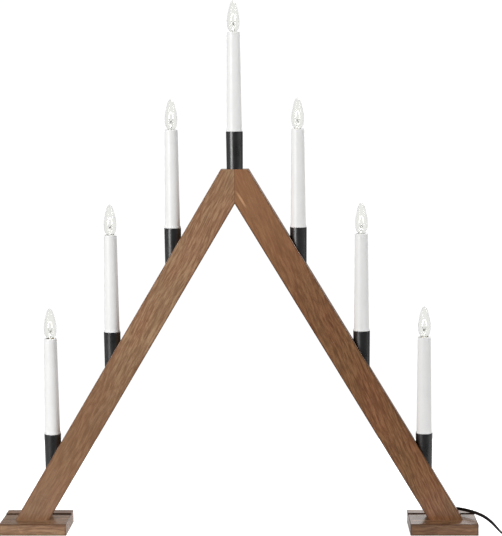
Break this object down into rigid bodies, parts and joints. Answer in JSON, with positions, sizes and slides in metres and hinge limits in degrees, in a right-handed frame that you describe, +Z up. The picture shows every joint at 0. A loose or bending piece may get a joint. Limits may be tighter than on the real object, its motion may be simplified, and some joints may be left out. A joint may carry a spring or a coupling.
{
  "type": "candle arch",
  "caption": "Free-standing electric candle arch: two mitred wooden legs on feet carry stepped candle lamps in cups, with screw-in pointed bulbs and a mains cord.",
  "frame": {"origin": "on the floor, under the middle of the arch", "axes": "+Z up, +Y to the back of the arch, +X to its right seen from the front"},
  "size_m": [0.7784, 0.0831, 0.6455],
  "materials": {
    "wood": "satin",
    "cover_wood": "satin",
    "dowel_wood": "matte",
    "screw_steel": "satin",
    "black_cup": "satin",
    "white_tube": "satin",
    "holder_plastic": "matte",
    "cap_brass": "satin",
    "wire_plastic": "matte",
    "bulb_glass": "polished",
    "bulb_inside": "polished",
    "black_cord": "satin",
    "tie_plastic": "matte",
    "pin_steel": "polished"
  },
  "bodies": {
    "arch": {"left_leg": "wood", "right_leg": "wood", "left_foot_plate": "wood", "right_foot_plate": "wood", "left_foot_rail": "wood", "right_foot_rail": "wood", "dowels": "dowel_wood", "leg_screws": "screw_steel", "channel_covers": "cover_wood", "lampholder_bodies": "holder_plastic", "lampholder_shells": "cap_brass", "lamp_wiring": "wire_plastic", "cup_left_lower": "black_cup", "candle_tube_left_lower": "white_tube", "cup_left_middle": "black_cup", "candle_tube_left_middle": "white_tube", "cup_left_upper": "black_cup", "candle_tube_left_upper": "white_tube", "cup_top": "black_cup", "candle_tube_top": "white_tube", "cup_right_upper": "black_cup", "candle_tube_right_upper": "white_tube", "cup_right_middle": "black_cup", "candle_tube_right_middle": "white_tube", "cup_right_lower": "black_cup", "candle_tube_right_lower": "white_tube", "cord_boot": "black_cord", "mains_cord": "black_cord", "cord_coil": "black_cord", "plug_body": "black_cord", "coil_tie": "tie_plastic", "plug_pins": "pin_steel"},
    "contact_left_lower": {"centre_contact_left_lower": "cap_brass"},
    "bulb_left_lower": {"bulb_glass_left_lower": "bulb_glass", "bulb_cap_left_lower": "cap_brass", "bulb_mount_left_lower": "bulb_inside"},
    "contact_left_middle": {"centre_contact_left_middle": "cap_brass"},
    "bulb_left_middle": {"bulb_glass_left_middle": "bulb_glass", "bulb_cap_left_middle": "cap_brass", "bulb_mount_left_middle": "bulb_inside"},
    "contact_left_upper": {"centre_contact_left_upper": "cap_brass"},
    "bulb_left_upper": {"bulb_glass_left_upper": "bulb_glass", "bulb_cap_left_upper": "cap_brass", "bulb_mount_left_upper": "bulb_inside"},
    "contact_top": {"centre_contact_top": "cap_brass"},
    "bulb_top": {"bulb_glass_top": "bulb_glass", "bulb_cap_top": "cap_brass", "bulb_mount_top": "bulb_inside"},
    "contact_right_upper": {"centre_contact_right_upper": "cap_brass"},
    "bulb_right_upper": {"bulb_glass_right_upper": "bulb_glass", "bulb_cap_right_upper": "cap_brass", "bulb_mount_right_upper": "bulb_inside"},
    "contact_right_middle": {"centre_contact_right_middle": "cap_brass"},
    "bulb_right_middle": {"bulb_glass_right_middle": "bulb_glass", "bulb_cap_right_middle": "cap_brass", "bulb_mount_right_middle": "bulb_inside"},
    "contact_right_lower": {"centre_contact_right_lower": "cap_brass"},
    "bulb_right_lower": {"bulb_glass_right_lower": "bulb_glass", "bulb_cap_right_lower": "cap_brass", "bulb_mount_right_lower": "bulb_inside"}
  },
  "joints": [
    {"name": "lift_left_lower", "type": "slide", "parent": "arch", "child": "contact_left_lower", "axis": [0, 0, 1], "range_m": [0, 0.00182]},
    {"name": "screw_left_lower", "type": "hinge", "parent": "contact_left_lower", "child": "bulb_left_lower", "pos_m": [-0.22859, 0, 0.23919], "axis": [0, 0, 1], "range_deg": [0, 360]},
    {"name": "lift_left_middle", "type": "slide", "parent": "arch", "child": "contact_left_middle", "axis": [0, 0, 1], "range_m": [0, 0.00182]},
    {"name": "screw_left_middle", "type": "hinge", "parent": "contact_left_middle", "child": "bulb_left_middle", "pos_m": [-0.15239, 0, 0.366], "axis": [0, 0, 1], "range_deg": [0, 360]},
    {"name": "lift_left_upper", "type": "slide", "parent": "arch", "child": "contact_left_upper", "axis": [0, 0, 1], "range_m": [0, 0.00182]},
    {"name": "screw_left_upper", "type": "hinge", "parent": "contact_left_upper", "child": "bulb_left_upper", "pos_m": [-0.0762, 0, 0.49281], "axis": [0, 0, 1], "range_deg": [0, 360]},
    {"name": "lift_top", "type": "slide", "parent": "arch", "child": "contact_top", "axis": [0, 0, 1], "range_m": [0, 0.00182]},
    {"name": "screw_top", "type": "hinge", "parent": "contact_top", "child": "bulb_top", "pos_m": [0, 0, 0.6087], "axis": [0, 0, 1], "range_deg": [0, 360]},
    {"name": "lift_right_upper", "type": "slide", "parent": "arch", "child": "contact_right_upper", "axis": [0, 0, 1], "range_m": [0, 0.00182]},
    {"name": "screw_right_upper", "type": "hinge", "parent": "contact_right_upper", "child": "bulb_right_upper", "pos_m": [0.0762, 0, 0.49281], "axis": [0, 0, 1], "range_deg": [0, 360]},
    {"name": "lift_right_middle", "type": "slide", "parent": "arch", "child": "contact_right_middle", "axis": [0, 0, 1], "range_m": [0, 0.00182]},
    {"name": "screw_right_middle", "type": "hinge", "parent": "contact_right_middle", "child": "bulb_right_middle", "pos_m": [0.15239, 0, 0.366], "axis": [0, 0, 1], "range_deg": [0, 360]},
    {"name": "lift_right_lower", "type": "slide", "parent": "arch", "child": "contact_right_lower", "axis": [0, 0, 1], "range_m": [0, 0.00182]},
    {"name": "screw_right_lower", "type": "hinge", "parent": "contact_right_lower", "child": "bulb_right_lower", "pos_m": [0.22859, 0, 0.23919], "axis": [0, 0, 1], "range_deg": [0, 360]}
  ],
  "couplings": [
    {"joint": "lift_left_lower", "follows": "screw_left_lower", "m_per_rad": 0.00028871},
    {"joint": "lift_left_middle", "follows": "screw_left_middle", "m_per_rad": 0.00028871},
    {"joint": "lift_left_upper", "follows": "screw_left_upper", "m_per_rad": 0.00028871},
    {"joint": "lift_top", "follows": "screw_top", "m_per_rad": 0.00028871},
    {"joint": "lift_right_upper", "follows": "screw_right_upper", "m_per_rad": 0.00028871},
    {"joint": "lift_right_middle", "follows": "screw_right_middle", "m_per_rad": 0.00028871},
    {"joint": "lift_right_lower", "follows": "screw_right_lower", "m_per_rad": 0.00028871}
  ]
}
